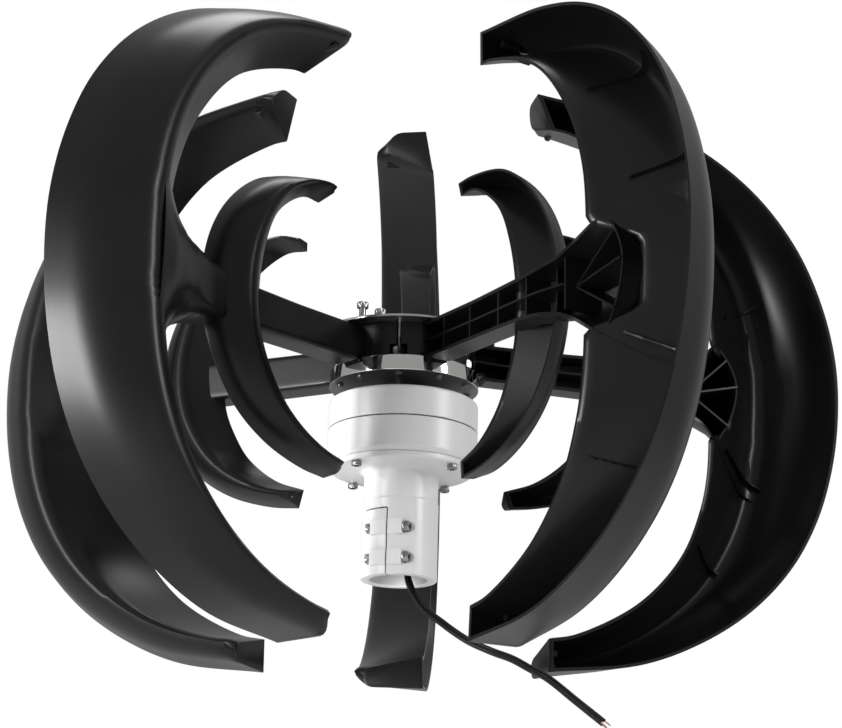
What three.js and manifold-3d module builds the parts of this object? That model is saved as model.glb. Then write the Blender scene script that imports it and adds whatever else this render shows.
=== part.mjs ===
// Small vertical-axis wind turbine: five crescent blades around a flat
// permanent-magnet generator that sits on a split clamping sleeve.
// Millimetres, +Z up. The origin is the centre of the sleeve's lower rim, on
// the spin axis.

import * as THREE from 'three';
import Module from 'manifold-3d';
import { ConvexGeometry } from 'three/addons/geometries/ConvexGeometry.js';
import { mergeVertices } from 'three/addons/utils/BufferGeometryUtils.js';

const wasm = await Module();
wasm.setup();

const DEG = Math.PI / 180;

// mast sleeve, cast in one with the lower end cover
const BORE_RADIUS = 25;
const SLEEVE_RADIUS = 32.6;
const NECK_RADIUS = 32;
const POLE_STOP = 74;
const FLANGE_RADIUS = 61.5;
const FLANGE_BOTTOM = 94;
const FLANGE_TOP = 98.7;
const SPLIT_ANGLE = 250;
const SPLIT_TOP = 57;
const CLAMP_LEVELS = [40.3, 14.2];
const CLAMP_REACH = 29;
const LUG_FACE = 33.4;

// generator
const BODY_RADIUS = 65;
const BODY_WALL = 5;
const BODY_BOTTOM = 99;
const SEAM = 129;
const BODY_TOP = 156;
const COVER_SCREW_CIRCLE = 57;
const COVER_SCREW_ANGLES = [48, 138, 228, 318];
const CORE_RADIUS = 51;
const LOWER_BEARING = { bore: 5.1, outer: 15, bottom: 94.1 };
const UPPER_BEARING = { bore: 7.5, outer: 16, bottom: 141.2 };
const BEARING_WIDTH = 9;

// hub
const DISC_BOTTOM = 168.5;
const DISC_TOP = 182;
const ROOT_BOTTOM = 182.3;
const ROOT_TOP = 211.3;
const ROOT_HALF_ANGLE = 34.5;
const PLATE_BOTTOM = 211.6;
const PLATE_TOP = 213.6;
const PLATE_RADIUS = 78.5;
const OUTER_SCREW_CIRCLE = 57;
const INNER_SCREW_CIRCLE = 34;
const SCREW_HOLE = 3.4;
const LOOSE_BLADE = 4;

// rotor
const BLADE_COUNT = 5;
const HALF_PITCH = 180 / BLADE_COUNT;
const FIRST_BLADE_ANGLE = 12.94;
const WALL = 3;

// cable cores
const LEAD_RADIUS = 1.5;
const CABLE_HOLE = [20.5, 0];

// --- small helpers ---------------------------------------------------------

function weld(geometry) {
  const bare = geometry.clone();
  bare.deleteAttribute('normal');
  bare.deleteAttribute('uv');
  return mergeVertices(bare, 1e-4);
}

function meshOf(positions, index) {
  return new wasm.Manifold(new wasm.Mesh({
    numProp: 3,
    vertProperties: new Float32Array(positions),
    triVerts: new Uint32Array(index),
  }));
}

// A solid from a closed three.js geometry, turned round if it faces inwards.
function toSolid(geometry) {
  const { attributes, index } = weld(geometry);
  const solid = meshOf(attributes.position.array, index.array);
  if (solid.volume() > 0) return solid;
  return meshOf(attributes.position.array, Array.from(index.array).reverse());
}

function toGeometry(solid) {
  const mesh = solid.asOriginal().simplify(0.2).getMesh();
  const geometry = new THREE.BufferGeometry();
  geometry.setAttribute('position', new THREE.BufferAttribute(mesh.vertProperties, 3));
  geometry.setIndex(new THREE.BufferAttribute(mesh.triVerts, 1));
  geometry.computeVertexNormals();
  return geometry;
}

// Turned part; a profile that doesn't start on the axis is closed on itself.
function turned(points, segments = 24) {
  const profile = points.map(([r, z]) => new THREE.Vector2(r, z));
  if (points[0][0] > 0) profile.push(profile[0].clone());
  return toSolid(new THREE.LatheGeometry(profile, segments).rotateX(Math.PI / 2));
}

function ring(inner, outer, bottom, top, segments = 24) {
  return turned([[inner, bottom], [outer, bottom], [outer, top], [inner, top]], segments);
}

function rod(radius, bottom, top, segments = 16) {
  const geometry = new THREE.CylinderGeometry(radius, radius, top - bottom, segments);
  return toSolid(geometry.rotateX(Math.PI / 2).translate(0, 0, (bottom + top) / 2));
}

function hexagon(acrossFlats, bottom, top) {
  return rod(acrossFlats / Math.sqrt(3), bottom, top, 6);
}

function block([x0, x1], [y0, y1], [z0, z1]) {
  const geometry = new THREE.BoxGeometry(x1 - x0, y1 - y0, z1 - z0);
  return toSolid(geometry.translate((x0 + x1) / 2, (y0 + y1) / 2, (z0 + z1) / 2));
}

function polar(radius, degrees, z = 0) {
  return [radius * Math.cos(degrees * DEG), radius * Math.sin(degrees * DEG), z];
}

// The convex solid around the given points.
function hull(points) {
  return toSolid(new ConvexGeometry(points.map((p) => new THREE.Vector3(...p))));
}

const { union } = wasm.Manifold;

// --- blades ----------------------------------------------------------------
// A blade is worked out in its own frame: x runs outwards along the arm, y in
// the direction of rotation, z up. The hollow side faces -y.
//
// A crescent is a bent scoop. rim and lip are its outer and inner free edges as
// [reach, height] from the top tip to the bottom tip. The other triples are
// [top, middle, bottom]: the y of each edge and of the crest of the back, and
// for each shoulder how far it is set in from its edge, then its y.

const OUTER_CRESCENT = {
  rim: [
    [119, 464], [212, 451], [278, 427], [332, 388], [371, 338], [394, 284], [405, 230],
    [405, 178], [397, 128], [381, 80], [355, 35], [317, -5], [269, -37], [212, -60], [131, -71],
  ],
  lip: [
    [131, 426], [146, 424], [211, 395], [255, 341], [275, 288], [280, 246], [279, 178],
    [276, 114], [268, 78], [250, 37], [211, -6], [154, -37], [131, -42],
  ],
  rimY: [-4, -5, -13],
  rimShoulder: [[1, 16, 1], [27, 31, 40]],
  crestY: [47, 57, 56],
  lipShoulder: [[20, 27, 4], [27, 26, 40]],
  lipY: [-11, -8, -12],
  wall: 3,
  stations: 14,
};

const INNER_CRESCENT = {
  rim: [
    [108, 324], [127, 325], [173, 316], [213, 284], [236, 243], [242, 193], [230, 149],
    [203, 110], [167, 86], [125, 73], [98, 70],
  ],
  lip: [
    [106, 314], [125, 313], [157, 289], [173, 251], [179, 207], [175, 168], [164, 142],
    [148, 118], [120, 96], [93, 86],
  ],
  rimY: [-16, -7, -1],
  rimShoulder: [[1, 6, 2], [2, 8, 14]],
  crestY: [20, 25, 30],
  lipShoulder: [[1, 8, 2], [2, 8, 14]],
  lipY: [-12, -4, 1],
  wall: 2.4,
  stations: 9,
};

function edge(points) {
  const path = points.map(([x, z]) => new THREE.Vector3(x, 0, z));
  return new THREE.CatmullRomCurve3(path, false, 'centripetal');
}

function along([top, middle, bottom], s) {
  const t = 2 * s - 1;
  return middle + ((bottom - top) * t) / 2 + ((top + bottom) / 2 - middle) * t * t;
}

// Outer skin of one cross-section as [distance from the rim, y] pairs.
function skinLine(shape, width, s) {
  const a = along(shape.rimShoulder[0], s);
  const b = along(shape.lipShoulder[0], s);
  const crest = along(shape.crestY, s);
  const back = width - a - b;
  return [
    [0, along(shape.rimY, s)], [a, along(shape.rimShoulder[1], s)],
    [a + 0.28 * back, crest], [a + 0.72 * back, crest],
    [width - b, along(shape.lipShoulder[1], s)], [width, along(shape.lipY, s)],
  ];
}

// The same line moved into the scoop by the wall thickness, its two ends level.
function innerLine(line, wall) {
  const last = line.length - 1;
  return line.map(([u, y], i) => {
    if (i === 0) return [u + wall, y];
    if (i === last) return [u - wall, y];
    const before = leftNormal(line[i - 1], line[i]);
    const after = leftNormal(line[i], line[i + 1]);
    const x = before[0] + after[0];
    const z = before[1] + after[1];
    const scale = (2 * wall) / (x * x + z * z);
    return [u + x * scale, y + z * scale];
  });
}

function leftNormal(a, b) {
  const length = Math.hypot(b[0] - a[0], b[1] - a[1]);
  return [(b[1] - a[1]) / length, -(b[0] - a[0]) / length];
}

// Cross-sections from tip to tip. A filled one is closed in front instead of
// following the inside of the wall.
function crescentSections(shape, filled) {
  const rimCurve = edge(shape.rim);
  const lipCurve = edge(shape.lip);
  const sections = [];
  for (let i = 0; i < shape.stations; i++) {
    const s = i / (shape.stations - 1);
    const rim = rimCurve.getPointAt(s);
    const across = lipCurve.getPointAt(s).sub(rim);
    const width = across.length();
    across.divideScalar(width);
    const skin = skinLine(shape, width, s);
    const inside = filled ? skin.map(([u]) => [u, -45]) : innerLine(skin, shape.wall);
    const loop = skin.concat(inside.reverse());
    sections.push(loop.map(([u, y]) => [rim.x + across.x * u, y, rim.z + across.z * u]));
  }
  return sections;
}

// Solid through a row of equal loops; each end is closed by a strip between
// the two halves of its loop.
function loft(sections) {
  const n = sections[0].length;
  const end = (sections.length - 1) * n;
  const index = [];
  for (let i = 0; i < sections.length - 1; i++) {
    for (let j = 0; j < n; j++) {
      const a = i * n + j;
      const b = i * n + ((j + 1) % n);
      index.push(a, b, a + n, b, b + n, a + n);
    }
  }
  for (let j = 0; j < n / 2 - 1; j++) {
    const [a, b, c, d] = [j, j + 1, n - 2 - j, n - 1 - j];
    index.push(a, d, b, b, d, c);
    index.push(end + a, end + b, end + d, end + b, end + c, end + d);
  }
  const solid = meshOf(sections.flat(2), index);
  return solid.volume() > 0 ? solid : meshOf(sections.flat(2), index.reverse());
}

// Flat wall that closes the tray at a tip.
function tipWall(end, next) {
  const skin = end.slice(0, end.length / 2);
  const step = [0, 1, 2].map((k) => next[0][k] - end[0][k]);
  const scale = WALL / Math.hypot(...step);
  const moved = skin.map((p) => [p[0] + step[0] * scale, p[1], p[2] + step[2] * scale]);
  return hull([...skin, ...moved]);
}

function crescent(shape) {
  const sections = crescentSections(shape, false);
  const top = tipWall(sections[0], sections[1]);
  const bottom = tipWall(sections.at(-1), sections.at(-2));
  return union([loft(sections), top, bottom]);
}

// Straight rib between two [reach, height] points, from y = back to front.
function rib([x0, z0], [x1, z1], back, front, thickness = 2.6) {
  const length = Math.hypot(x1 - x0, z1 - z0);
  const nx = ((z1 - z0) / length) * thickness * 0.5;
  const nz = (-(x1 - x0) / length) * thickness * 0.5;
  const corners = [];
  for (const [x, z] of [[x0, z0], [x1, z1]]) {
    for (const y of [back, front]) {
      corners.push([x + nx, y, z + nz], [x - nx, y, z - nz]);
    }
  }
  return hull(corners);
}

// arm: an open trough from the hub that flares into the outer crescent, as
// [reach, low, high, front, back]
const ARM = [
  [45, 182.3, 211.3, -19, 6], [66, 182.3, 211.3, -19, 6], [69, 178.5, 211, -19, 6],
  [140, 176.5, 210, -19, 6], [206, 174.5, 211, -19, 6], [236, 172, 213, -19, 9.5],
  [262, 166, 221, -16, 17], [284, 156, 233, -9, 23], [302, 145, 247, -5, 26],
];
const FLARE = ARM.slice(5);

// Solid along the arm; limits turns one station into [front, back, low, high].
function armSolid(stations, limits) {
  const rings = stations.map((station) => {
    const [front, back, low, high] = limits(...station);
    return [front, back].flatMap((y) => [[station[0], y, low], [station[0], y, high]]);
  });
  return union(rings.slice(1).map((next, i) => hull([...rings[i], ...next])));
}

function arm() {
  const web = armSolid(ARM, (x, low, high, front, back) => [back - WALL, back, low, high]);
  const floor = armSolid(ARM, (x, low, high, front, back) => [front, back, low, low + WALL]);
  const roof = armSolid(ARM, (x, low, high, front, back) => [front, back, high - WALL, high]);
  const spine = armSolid(ARM.slice(0, 7), (x, low, high, front, back) => {
    return [front + 1, back - 1, (low + high) / 2 - 1.3, (low + high) / 2 + 1.3];
  });
  const cross = [92, 132, 174, 214].map((x) => rib([x, 178], [x, 209], 5, -18));
  return union([web, floor, roof, spine, ...cross, rib([262, 168], [262, 219], 15, -15)]);
}

// The room in front of the flare's web, where the crescent's wall is left out.
function flareRoom() {
  return armSolid(FLARE, (x, low, high, front, back) => [-45, back - 1, low + 1, high - 1]);
}

// Ribs on the hollow side, trimmed to stay inside the scoop and the flare.
function stiffeners(room) {
  const node = [262, 190];
  const fan = [[301, 226], [311, 202], [302, 164]].map((tip) => rib(node, tip, 40, -4));
  const arcPoints = [[295, 238], [306, 222], [312, 203], [306, 173], [294, 152]];
  const arc = arcPoints.slice(1).map((point, i) => rib(arcPoints[i], point, 60, 4));
  const diagonal = [
    rib([246, 337], [312, 375], 60, 40, 2.2),
    rib([285, 250], [356, 290], 60, 44, 2.2),
    rib([284, 150], [354, 110], 60, 44, 2.2),
    rib([252, 60], [310, 28], 60, 44, 2.2),
  ];
  return union([...fan, ...arc, ...diagonal]).intersect(room);
}

// Round bosses in the corners of the tips.
function tipBosses(room) {
  const spots = [[127, 455], [135, 440], [140, -62], [140, -50]];
  return union(spots.map(([x, z]) => {
    return rod(3.2, 0, 40, 8).rotate([-90, 0, 0]).translate([x, 8, z]);
  })).intersect(room);
}

// Wedge at the hub, with half of a round notch for the stud on either side.
function root() {
  const corners = [];
  for (const z of [ROOT_BOTTOM, ROOT_TOP]) {
    corners.push(polar(12, -ROOT_HALF_ANGLE, z), polar(12, ROOT_HALF_ANGLE, z));
    for (const turn of [-1, -0.5, 0, 0.5, 1]) {
      corners.push(polar(62, turn * ROOT_HALF_ANGLE, z));
    }
  }
  const notches = [-1, 1].map((side) => {
    return rod(8.5, 170, 220, 14).translate(polar(OUTER_SCREW_CIRCLE, side * HALF_PITCH));
  });
  return hull(corners).subtract(union(notches));
}

function bladeSolid() {
  const window = armSolid(FLARE, (x, low, high, front, back) => {
    return [-45, back - WALL, low + WALL, high - WALL];
  });
  const scoop = crescent(OUTER_CRESCENT).subtract(window);
  const scoopRoom = loft(crescentSections(OUTER_CRESCENT, true));
  const ribs = stiffeners(scoopRoom.add(flareRoom()));
  const bosses = tipBosses(scoopRoom);
  const solid = union([scoop, crescent(INNER_CRESCENT), arm(), ribs, bosses, root()]);
  const holes = [OUTER_SCREW_CIRCLE, INNER_SCREW_CIRCLE].map((x) => {
    return rod(SCREW_HOLE, 170, 220, 8).translate([x, 0, 0]);
  });
  return solid.subtract(union(holes));
}

// --- mast sleeve -----------------------------------------------------------

// Clamp parts are worked out with x outwards and y along the screw.
function atClamp(solid, level) {
  return solid.rotate([0, 0, SPLIT_ANGLE]).translate([0, 0, level]);
}

function lyingRod(radius, from, to, segments = 16) {
  return rod(radius, from, to, segments).rotate([-90, 0, 0]).translate([CLAMP_REACH, 0, 0]);
}

function splitCuts() {
  const slit = atClamp(block([20, 45], [-0.75, 0.75], [-1, SPLIT_TOP]), 0);
  const relief = atClamp(rod(2.2, 20, 45, 14).rotate([0, 90, 0]), SPLIT_TOP);
  const corners = [];
  for (const z of [SPLIT_TOP - 1, SPLIT_TOP + 1]) {
    corners.push([0, 0, z]);
    for (const angle of [205, 220, 235, SPLIT_ANGLE + 1]) corners.push(polar(45, angle, z));
  }
  const undercut = hull(corners).intersect(ring(20, 45, 50, 64));
  return union([slit, relief, undercut]);
}

function mastSleeve() {
  let solid = turned([
    [0, POLE_STOP], [BORE_RADIUS, POLE_STOP], [BORE_RADIUS, 0.8], [BORE_RADIUS + 0.8, 0],
    [SLEEVE_RADIUS - 0.8, 0], [SLEEVE_RADIUS, 0.8], [SLEEVE_RADIUS, 66], [NECK_RADIUS, 66.6],
    [NECK_RADIUS, 85], [NECK_RADIUS + 1.6, 90], [NECK_RADIUS + 6, FLANGE_BOTTOM],
    [FLANGE_RADIUS - 0.6, FLANGE_BOTTOM], [FLANGE_RADIUS, FLANGE_BOTTOM + 0.6],
    [FLANGE_RADIUS, FLANGE_TOP], [19, FLANGE_TOP], [19, 103], [15.3, 103], [15.3, 93.8],
    [11, 93.8], [11, 90.5], [0, 90.5],
  ], 36);
  for (const level of CLAMP_LEVELS) {
    const lug = block([20, LUG_FACE], [-15, 13.5], [-6.5, 6.5]);
    solid = solid.add(atClamp(lug, level).subtract(rod(BORE_RADIUS, -1, POLE_STOP, 36)));
  }
  for (const level of CLAMP_LEVELS) {
    const headPocket = lyingRod(5, 13.5, 34, 20);
    const nutPocket = lyingRod(5.4, -34, -15, 20);
    const pockets = union([headPocket, nutPocket, lyingRod(2.8, -20, 20, 14)]);
    solid = solid.subtract(atClamp(pockets, level));
  }
  for (const angle of COVER_SCREW_ANGLES) {
    solid = solid.subtract(rod(2.8, 90, 100, 10).translate(polar(COVER_SCREW_CIRCLE, angle)));
  }
  const cableHole = rod(4.4, 60, 104, 14).translate([...CABLE_HOLE, 0]);
  return solid.subtract(splitCuts()).subtract(cableHole);
}

function clampScrew() {
  const head = lyingRod(4.25, 13.8, 19.3, 18).subtract(lyingRod(2.3, 16.3, 22, 6));
  return union([lyingRod(2.5, -20.4, 13.9, 14), head]);
}

function clampNut() {
  return lyingRod(4.6, -19.4, -15.4, 6).subtract(lyingRod(2.8, -25, -10, 14));
}

// --- generator -------------------------------------------------------------

// Screw pillars inside a shell, each with a flat on the outside.
function withPillars(solid, bottom, top, holeTop) {
  let result = solid;
  for (const angle of COVER_SCREW_ANGLES) {
    const pillar = rod(5.5, bottom, top, 12).translate(polar(COVER_SCREW_CIRCLE, angle));
    result = result.add(pillar);
  }
  for (const angle of COVER_SCREW_ANGLES) {
    const hole = rod(2.8, bottom - 1, holeTop, 10).translate(polar(COVER_SCREW_CIRCLE, angle));
    const flat = block([BODY_RADIUS - 0.7, 70], [-20, 20], [bottom - 1, top + 1]);
    result = result.subtract(hole).subtract(flat.rotate([0, 0, angle]));
  }
  return result;
}

function lowerShell() {
  const inner = BODY_RADIUS - BODY_WALL;
  const solid = turned([
    [46.5, BODY_BOTTOM], [FLANGE_RADIUS, BODY_BOTTOM], [BODY_RADIUS, BODY_BOTTOM + 3.5],
    [BODY_RADIUS, SEAM], [inner, SEAM], [inner, 108], [46.5, 108],
  ], 36);
  return withPillars(solid, BODY_BOTTOM, SEAM, SEAM + 2);
}

function upperShell() {
  const inner = BODY_RADIUS - BODY_WALL;
  const solid = turned([
    [inner, SEAM + 0.9], [BODY_RADIUS, SEAM + 0.9], [BODY_RADIUS, BODY_TOP - 2],
    [BODY_RADIUS - 2, BODY_TOP], [18, BODY_TOP], [18, 150.6], [16.3, 150.6], [16.3, 141],
    [20.5, 141], [20.5, 151], [inner, 151], [inner, 138.4], [46.5, 138.4], [46.5, 134.4],
    [inner, 134.4],
  ], 36);
  return withPillars(solid, SEAM + 0.9, 152, 148);
}

function coverScrew() {
  const head = rod(4.25, 89, 93.7, 14).subtract(rod(2.3, 88, 91.4, 6));
  return union([head, rod(2.5, 93, 146, 10)]);
}

function statorCore() {
  let solid = ring(34, CORE_RADIUS, 108.3, 134.1, 36);
  for (let i = 0; i < 12; i++) {
    const slot = block([36.5, 44.5], [-3.2, 3.2], [100, 140]);
    const mouth = block([30, 38], [-1, 1], [100, 140]);
    solid = solid.subtract(slot.add(mouth).rotate([0, 0, i * 30]));
  }
  for (const angle of COVER_SCREW_ANGLES) {
    const notch = rod(5.9, 100, 140, 12).translate(polar(COVER_SCREW_CIRCLE, angle));
    solid = solid.subtract(notch);
  }
  return solid;
}

function statorWinding() {
  const lowerTurns = ring(37, 45.6, 102.6, 108, 24);
  const upperTurns = ring(37, 45.6, 134.4, 139.4, 24);
  const bars = Array.from({ length: 12 }, (_, i) => {
    return block([37.1, 44.1], [-2.8, 2.8], [105, 137]).rotate([0, 0, i * 30]);
  });
  return union([lowerTurns, upperTurns, ...bars]);
}

function innerRace({ bore, outer, bottom }) {
  return ring(bore, (bore + outer) / 2 - 1.2, bottom, bottom + BEARING_WIDTH, 24);
}

function outerRace({ bore, outer, bottom }) {
  return ring((bore + outer) / 2 + 1.2, outer, bottom, bottom + BEARING_WIDTH, 24);
}

function shaftSeal() {
  return turned([
    [12.4, 154.9], [12.4, 153.4], [13.8, 152.2], [17.7, 152.2], [17.7, 155.8], [16.4, 155.8],
    [16.4, 153.8], [14.2, 153.8], [13, 154.9],
  ], 20);
}

function shaft() {
  return turned([
    [0, 94.1], [4.2, 94.1], [4.8, 94.7], [4.8, 103.4], [9, 103.4], [9, 140.9], [7.2, 140.9],
    [7.2, 205], [6, 205.6], [6, 225.2], [5.2, 226], [0, 226],
  ], 24);
}

// Light wheel that carries the magnets on the shaft.
function magnetWheel() {
  return turned([
    [9.3, 110], [13.5, 110], [13.5, 119], [26, 119], [26, 109], [30, 109], [30, 134],
    [26, 134], [26, 124], [13.5, 124], [13.5, 132], [9.3, 132],
  ], 24);
}

function magnetRing() {
  let solid = ring(30.3, 33, 109.5, 133.5, 30);
  for (let i = 0; i < 10; i++) {
    solid = solid.subtract(block([32.2, 34], [-0.5, 0.5], [100, 140]).rotate([0, 0, i * 36]));
  }
  return solid;
}

// --- hub -------------------------------------------------------------------

const bladeAngles = Array.from({ length: BLADE_COUNT }, (_, i) => {
  return FIRST_BLADE_ANGLE + (i * 360) / BLADE_COUNT;
});
const gapAngles = bladeAngles.map((angle) => angle + HALF_PITCH);

function drilled(solid) {
  const holes = bladeAngles.flatMap((angle) => [
    polar(OUTER_SCREW_CIRCLE, angle),
    polar(INNER_SCREW_CIRCLE, angle),
    polar(OUTER_SCREW_CIRCLE, angle + HALF_PITCH),
  ]);
  return solid.subtract(union(holes.map((at) => rod(SCREW_HOLE, 150, 220, 8).translate(at))));
}

function hubDisc() {
  return drilled(turned([
    [7.5, 150.5], [12, 150.5], [12, DISC_BOTTOM], [BODY_RADIUS - 1, DISC_BOTTOM],
    [BODY_RADIUS, DISC_BOTTOM + 1], [BODY_RADIUS, DISC_TOP - 1], [BODY_RADIUS - 1, DISC_TOP],
    [7.5, DISC_TOP],
  ], 40));
}

function topPlate() {
  return drilled(ring(6.3, PLATE_RADIUS, PLATE_BOTTOM, PLATE_TOP, 36));
}

function capScrew(bottom, underHead, headHeight) {
  const top = underHead + headHeight;
  const head = rod(5, underHead, top, 14).subtract(rod(2.8, top - 3, top + 1, 6));
  return union([rod(3, bottom, underHead + 0.5, 10), head]);
}

// Screw with a loose washer under its head; both may stand proud of the plate.
function innerScrew(proud) {
  const seat = PLATE_TOP + 0.3 + proud;
  const washer = rod(7, seat, seat + 1.4, 14);
  return union([capScrew(169, seat + 1.2, 6.8), washer]);
}

function gapNut() {
  return hexagon(10, DISC_TOP + 0.3, DISC_TOP + 8).subtract(rod(3.3, 170, 200, 10));
}

function shaftNut() {
  return hexagon(19, PLATE_TOP + 0.3, PLATE_TOP + 9).subtract(rod(6.3, 205, 230, 24));
}

// --- cable cores -----------------------------------------------------------

const LEAD_ROUTE = [
  [20.5, 0, 97], [20.5, 0, 88], [20.5, 0, 74], [17, 0, 57], [12, 0, 40], [8, 0, 20],
  [7.5, 0, 3], [19, -5, -21], [36, -12, -36], [58, -19, -52], [78, -26, -62], [95, -38, -70],
  [108, -50, -79], [122, -70, -90], [144, -94, -112], [163, -110, -130],
];

// where each core runs beside the middle of the bundle: close together inside
// the casting, then [sideways, up] of its own outside
const LEADS = [
  { inside: [-1.65, 1], outside: [-1.65, 1.4] },
  { inside: [1.65, 1], outside: [1.65, 1.4] },
  { inside: [0, -1.9], outside: [0.4, -2.9] },
];

function leadCurve({ inside, outside }) {
  const route = LEAD_ROUTE.map((p) => new THREE.Vector3(...p));
  const middle = new THREE.CatmullRomCurve3(route, false, 'centripetal');
  const points = [];
  const count = 24;
  for (let i = 0; i <= count; i++) {
    const s = i / count;
    const tangent = middle.getTangentAt(s);
    const side = new THREE.Vector3(0, 1, 0).cross(tangent).normalize();
    const up = tangent.clone().cross(side);
    const mix = THREE.MathUtils.smoothstep(s, 0.22, 0.42);
    const u = inside[0] + (outside[0] - inside[0]) * mix;
    const v = inside[1] + (outside[1] - inside[1]) * mix;
    points.push(middle.getPointAt(s).addScaledVector(up, u).addScaledVector(side, v));
  }
  return new THREE.CatmullRomCurve3(points, false, 'centripetal');
}

function tube(curve, radius, steps) {
  const corners = Array.from({ length: 7 }, (_, i) => {
    return new THREE.Vector2(radius, 0).rotateAround(new THREE.Vector2(), (i * 360 * DEG) / 7);
  });
  const options = { steps, bevelEnabled: false, extrudePath: curve };
  return toSolid(new THREE.ExtrudeGeometry(new THREE.Shape(corners), options));
}

function lead(place) {
  return tube(leadCurve(place), LEAD_RADIUS, 44);
}

function leadTip(place) {
  const curve = leadCurve(place);
  const end = curve.getPointAt(1);
  const direction = curve.getTangentAt(1);
  const from = end.clone().addScaledVector(direction, 0.3);
  const to = end.clone().addScaledVector(direction, 7);
  return tube(new THREE.LineCurve3(from, to), 0.7, 1);
}

// --- assembly --------------------------------------------------------------

const whitePaint = { color: 0xe9eaea, roughness: 0.45, metalness: 0.1 };
const blackNylon = { color: 0x17181a, roughness: 0.5, metalness: 0 };
const blackRubber = { color: 0x0d0d0e, roughness: 0.85, metalness: 0 };
const polished = { color: 0xc9cbcd, roughness: 0.12, metalness: 1 };
const zincSteel = { color: 0xa9adb0, roughness: 0.35, metalness: 1 };
const darkSteel = { color: 0x3a3d40, roughness: 0.5, metalness: 0.9 };
const copper = { color: 0xb4692e, roughness: 0.4, metalness: 0.9 };

const group = new THREE.Group();
group.name = 'wind_turbine';

function add(name, solid, look) {
  const mesh = new THREE.Mesh(toGeometry(solid), new THREE.MeshStandardMaterial(look));
  mesh.name = name;
  group.add(mesh);
}

add('mast_sleeve', mastSleeve(), whitePaint);
add('lower_shell', lowerShell(), whitePaint);
add('upper_shell', upperShell(), whitePaint);
const gasket = ring(BODY_RADIUS - BODY_WALL, BODY_RADIUS - 0.9, SEAM + 0.2, SEAM + 0.7, 40);
const gasketHoles = COVER_SCREW_ANGLES.map((angle) => {
  return rod(6, SEAM, SEAM + 1, 16).translate(polar(COVER_SCREW_CIRCLE - 1, angle));
});
add('seam_gasket', gasket.subtract(union(gasketHoles)), blackRubber);

COVER_SCREW_ANGLES.forEach((angle, i) => {
  const place = polar(COVER_SCREW_CIRCLE, angle);
  add(`shell_screw_${i + 1}`, coverScrew().translate(place), zincSteel);
});
CLAMP_LEVELS.forEach((level, i) => {
  add(`clamp_screw_${i + 1}`, atClamp(clampScrew(), level), zincSteel);
  add(`clamp_nut_${i + 1}`, atClamp(clampNut(), level), zincSteel);
});

add('stator_core', statorCore(), darkSteel);
add('stator_winding', statorWinding(), copper);
add('lower_bearing_outer', outerRace(LOWER_BEARING), zincSteel);
add('lower_bearing_inner', innerRace(LOWER_BEARING), zincSteel);
add('upper_bearing_outer', outerRace(UPPER_BEARING), zincSteel);
add('upper_bearing_inner', innerRace(UPPER_BEARING), zincSteel);
add('shaft_seal', shaftSeal(), blackRubber);

add('shaft', shaft(), zincSteel);
add('magnet_wheel', magnetWheel(), darkSteel);
add('magnet_ring', magnetRing(), darkSteel);
add('hub_disc', hubDisc(), polished);
add('top_plate', topPlate(), zincSteel);
add('shaft_nut', shaftNut(), zincSteel);

const blade = bladeSolid();
bladeAngles.forEach((angle, i) => {
  add(`blade_${i + 1}`, blade.rotate([0, 0, angle]), blackNylon);
  const isLoose = i === LOOSE_BLADE - 1;
  const outer = polar(OUTER_SCREW_CIRCLE, angle);
  const outerScrew = capScrew(165.5, PLATE_TOP + (isLoose ? 15.4 : 0.3), 5);
  add(`blade_screw_${i + 1}`, outerScrew.translate(outer), zincSteel);
  const inner = polar(INNER_SCREW_CIRCLE, angle);
  add(`inner_screw_${i + 1}`, innerScrew(isLoose ? 12 : 0).translate(inner), zincSteel);
});
gapAngles.forEach((angle, i) => {
  const place = polar(OUTER_SCREW_CIRCLE, angle);
  add(`gap_screw_${i + 1}`, capScrew(166.5, PLATE_TOP + 0.3, 5).translate(place), zincSteel);
  add(`gap_nut_${i + 1}`, gapNut().translate(place), zincSteel);
});

const grommet = ring(3.7, 4.1, 76, 97, 18).translate([...CABLE_HOLE, 0]);
add('cable_grommet', grommet, blackRubber);
LEADS.forEach((place, i) => {
  add(`lead_${i + 1}`, lead(place), blackRubber);
  add(`lead_tip_${i + 1}`, leadTip(place), copper);
});

export default group;
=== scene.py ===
from math import cos, pi, radians, sin

import bmesh
import bpy
import numpy as np
from mathutils import Matrix, Quaternion, Vector


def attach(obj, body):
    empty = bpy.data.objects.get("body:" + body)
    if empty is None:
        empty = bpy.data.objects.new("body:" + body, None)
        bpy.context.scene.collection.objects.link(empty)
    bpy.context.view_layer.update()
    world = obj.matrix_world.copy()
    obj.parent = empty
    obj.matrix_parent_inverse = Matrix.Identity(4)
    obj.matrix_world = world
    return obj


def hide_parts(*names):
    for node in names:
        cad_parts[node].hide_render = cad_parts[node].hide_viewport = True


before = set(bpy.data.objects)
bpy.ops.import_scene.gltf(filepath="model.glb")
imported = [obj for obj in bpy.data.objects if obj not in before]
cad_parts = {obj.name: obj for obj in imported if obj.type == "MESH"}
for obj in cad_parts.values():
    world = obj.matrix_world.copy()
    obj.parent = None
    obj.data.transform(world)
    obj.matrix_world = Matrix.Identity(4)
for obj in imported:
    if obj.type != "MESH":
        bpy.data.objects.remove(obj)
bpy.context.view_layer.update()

scene = bpy.context.scene

# --- Studio ---------------------------------------------------------------
# The turbine hangs in an all-white studio, seen from a little below its hub.
# Big soft boxes left and right put long highlights on the black blades, and
# the floor lies well under the mast sleeve.

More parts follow.
